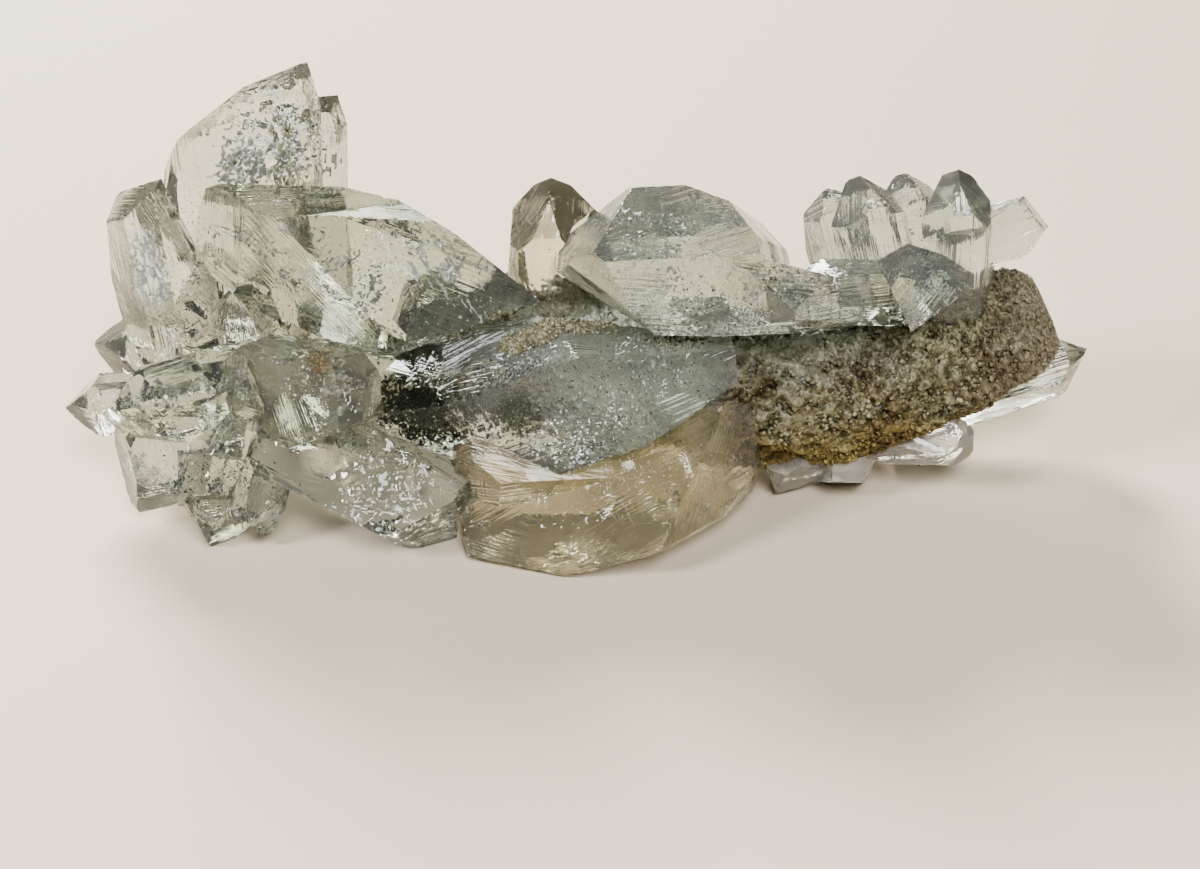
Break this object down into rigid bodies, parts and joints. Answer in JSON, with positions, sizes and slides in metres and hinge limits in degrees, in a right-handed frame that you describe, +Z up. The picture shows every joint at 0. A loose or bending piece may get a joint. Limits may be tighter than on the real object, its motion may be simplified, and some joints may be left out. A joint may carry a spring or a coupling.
{
  "type": "chlorite quartz",
  "caption": "Cluster of clear quartz points grown out of a long core under a druse of chlorite-green grains, lying on one of its blades.",
  "frame": {"origin": "middle of the bounding box on the plane the specimen lies on", "axes": "+X along the specimen from the fan of blades to the free end of the core, +Y away from its show side, +Z up"},
  "size_m": [0.0896, 0.0294, 0.038],
  "materials": {
    "clear_quartz": "clear natural crystal, IOR 1.544",
    "included_quartz": "clear crystal clouded by green chlorite, IOR 1.544",
    "chlorite_druse": "rough, finely granular"
  },
  "bodies": {
    "root": {"phantom_crystals": "included_quartz", "lower_blade": "clear_quartz", "left_cluster": "clear_quartz", "ridge_crystals": "clear_quartz", "single_point": "clear_quartz", "foot_crystals": "clear_quartz", "tail_crystal": "clear_quartz", "back_fan": "clear_quartz", "back_foot": "clear_quartz", "chlorite_core": "chlorite_druse"}
  },
  "joints": []
}
